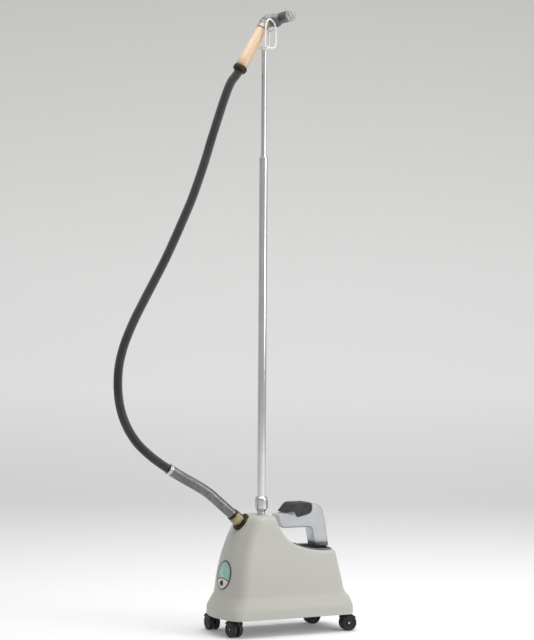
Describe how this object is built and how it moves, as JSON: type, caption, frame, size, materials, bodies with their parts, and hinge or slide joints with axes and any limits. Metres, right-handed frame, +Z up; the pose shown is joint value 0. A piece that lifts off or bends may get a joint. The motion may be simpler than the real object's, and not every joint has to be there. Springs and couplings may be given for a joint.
{
  "type": "garment steamer",
  "caption": "Upright garment steamer on casters: flared housing, telescopic chrome pole, lift-out water bottle, cloth-covered steam hose and wooden-handled steam head hung on a wire hook.",
  "frame": {"origin": "on the floor under the centre of the base", "axes": "+Z up; -Y to the front, where the badge and the steam outlet are; +X to the right for a person who stands behind the bottle and looks at the pole"},
  "size_m": [0.2336, 0.7582, 1.8646],
  "materials": {
    "housing_plastic": "satin moulded ABS, warm putty grey",
    "dark_plastic": "satin dark grey",
    "black_rubber": "matt black",
    "caster_plastic": "satin black nylon",
    "plated_steel": "zinc plated",
    "chrome_tube": "polished",
    "outlet_brass": "machined, slightly dulled",
    "dark_bronze": "dark oil-rubbed bronze",
    "hose_cloth": "black braided cloth over rubber",
    "guard_steel": "closely wound spring wire",
    "handle_wood": "turned maple, clear lacquer",
    "head_metal": "cast, polished then worn",
    "wire_white": "white dipped coating on steel wire",
    "badge_print": "printed plate, green over pale grey, no text",
    "bottle_clear": "clear moulded PETG",
    "copper_tube": "copper, heat stained",
    "silicone": "translucent silicone",
    "red_rubber": "matt red",
    "ceramic_block": "cream thermoset"
  },
  "bodies": {
    "base": {"housing_shell": "housing_plastic", "bottle_well": "dark_plastic", "base_plate": "plated_steel", "base_screw_1": "plated_steel", "base_screw_2": "plated_steel", "base_screw_3": "plated_steel", "base_screw_4": "plated_steel", "badge_plate": "badge_print", "switch_bezel": "dark_plastic", "outlet_flange": "dark_bronze", "outlet_nut": "outlet_brass", "hose_collar": "dark_bronze", "steam_hose": "hose_cloth", "hose_spring_guard": "guard_steel", "guard_ferrule": "plated_steel", "pole_stay": "plated_steel", "pole_socket": "chrome_tube", "lower_pole": "chrome_tube", "pole_mouth_bush": "plated_steel", "feed_valve_post": "outlet_brass", "boiler_tank": "head_metal", "heating_element": "plated_steel", "steam_pipe": "copper_tube", "thermostat": "dark_plastic", "terminal_block": "ceramic_block", "feed_tube": "silicone", "cord_gland": "black_rubber"},
    "mast": {"upper_pole": "chrome_tube", "upper_pole_glide": "wire_white", "hook_cap": "wire_white", "hook_wire": "wire_white"},
    "handset": {"wood_handle": "handle_wood", "handle_collar": "dark_bronze", "handle_ferrule": "plated_steel", "head_casting": "head_metal", "head_end_cap_left": "chrome_tube", "head_end_cap_right": "chrome_tube"},
    "bottle": {"water_bottle": "bottle_clear", "bottle_grip": "black_rubber", "bottle_cap": "dark_plastic", "cap_gasket": "red_rubber"},
    "cap_valve": {"cap_plunger": "outlet_brass"},
    "button": {"power_button": "black_rubber"},
    "caster_front_left": {"caster_yoke_front_left": "caster_plastic", "caster_axle_front_left": "plated_steel"},
    "wheel_front_left_a": {"caster_wheel_front_left_a": "caster_plastic"},
    "wheel_front_left_b": {"caster_wheel_front_left_b": "caster_plastic"},
    "caster_front_right": {"caster_yoke_front_right": "caster_plastic", "caster_axle_front_right": "plated_steel"},
    "wheel_front_right_a": {"caster_wheel_front_right_a": "caster_plastic"},
    "wheel_front_right_b": {"caster_wheel_front_right_b": "caster_plastic"},
    "caster_rear_left": {"caster_yoke_rear_left": "caster_plastic", "caster_axle_rear_left": "plated_steel"},
    "wheel_rear_left_a": {"caster_wheel_rear_left_a": "caster_plastic"},
    "wheel_rear_left_b": {"caster_wheel_rear_left_b": "caster_plastic"},
    "caster_rear_right": {"caster_yoke_rear_right": "caster_plastic", "caster_axle_rear_right": "plated_steel"},
    "wheel_rear_right_a": {"caster_wheel_rear_right_a": "caster_plastic"},
    "wheel_rear_right_b": {"caster_wheel_rear_right_b": "caster_plastic"}
  },
  "joints": [
    {"name": "pole_slide", "type": "slide", "parent": "base", "child": "mast", "axis": [0, 0, 1], "range_m": [-0.28, 0], "deforming": ["steam_hose"]},
    {"name": "handset_lift", "type": "slide", "parent": "mast", "child": "handset", "axis": [0, 0.5, 0.866], "range_m": [0, 0.06]},
    {"name": "bottle_lift", "type": "slide", "parent": "base", "child": "bottle", "axis": [0, 0, 1], "range_m": [0, 0.12]},
    {"name": "cap_valve_lift", "type": "slide", "parent": "bottle", "child": "cap_valve", "axis": [0, 0, 1], "range_m": [0, 0.004], "stiffness_N_per_m": 400, "springref_m": -0.003},
    {"name": "button_press", "type": "slide", "parent": "base", "child": "button", "axis": [0, 0.9873, -0.1586], "range_m": [0, 0.0025], "stiffness_N_per_m": 700, "springref_m": -0.002},
    {"name": "swivel_front_left", "type": "hinge", "parent": "base", "child": "caster_front_left", "pos_m": [-0.08, -0.175, 0.05], "axis": [0, 0, 1], "continuous": true},
    {"name": "roll_front_left_a", "type": "hinge", "parent": "caster_front_left", "child": "wheel_front_left_a", "pos_m": [-0.098, -0.175, 0.024], "axis": [0, -1, 0], "continuous": true},
    {"name": "roll_front_left_b", "type": "hinge", "parent": "caster_front_left", "child": "wheel_front_left_b", "pos_m": [-0.098, -0.175, 0.024], "axis": [0, -1, 0], "continuous": true},
    {"name": "swivel_front_right", "type": "hinge", "parent": "base", "child": "caster_front_right", "pos_m": [0.08, -0.175, 0.05], "axis": [0, 0, 1], "continuous": true},
    {"name": "roll_front_right_a", "type": "hinge", "parent": "caster_front_right", "child": "wheel_front_right_a", "pos_m": [0.06227, -0.17813, 0.024], "axis": [0.1736, -0.9848, 0], "continuous": true},
    {"name": "roll_front_right_b", "type": "hinge", "parent": "caster_front_right", "child": "wheel_front_right_b", "pos_m": [0.06227, -0.17813, 0.024], "axis": [0.1736, -0.9848, 0], "continuous": true},
    {"name": "swivel_rear_left", "type": "hinge", "parent": "base", "child": "caster_rear_left", "pos_m": [-0.08, 0.175, 0.05], "axis": [0, 0, 1], "continuous": true},
    {"name": "roll_rear_left_a", "type": "hinge", "parent": "caster_rear_left", "child": "wheel_rear_left_a", "pos_m": [-0.08063, 0.15701, 0.024], "axis": [0.9994, -0.0349, 0], "continuous": true},
    {"name": "roll_rear_left_b", "type": "hinge", "parent": "caster_rear_left", "child": "wheel_rear_left_b", "pos_m": [-0.08063, 0.15701, 0.024], "axis": [0.9994, -0.0349, 0], "continuous": true},
    {"name": "swivel_rear_right", "type": "hinge", "parent": "base", "child": "caster_rear_right", "pos_m": [0.08, 0.175, 0.05], "axis": [0, 0, 1], "continuous": true},
    {"name": "roll_rear_right_a", "type": "hinge", "parent": "caster_rear_right", "child": "wheel_rear_right_a", "pos_m": [0.08313, 0.19273, 0.024], "axis": [-0.9848, 0.1736, 0], "continuous": true},
    {"name": "roll_rear_right_b", "type": "hinge", "parent": "caster_rear_right", "child": "wheel_rear_right_b", "pos_m": [0.08313, 0.19273, 0.024], "axis": [-0.9848, 0.1736, 0], "continuous": true}
  ]
}
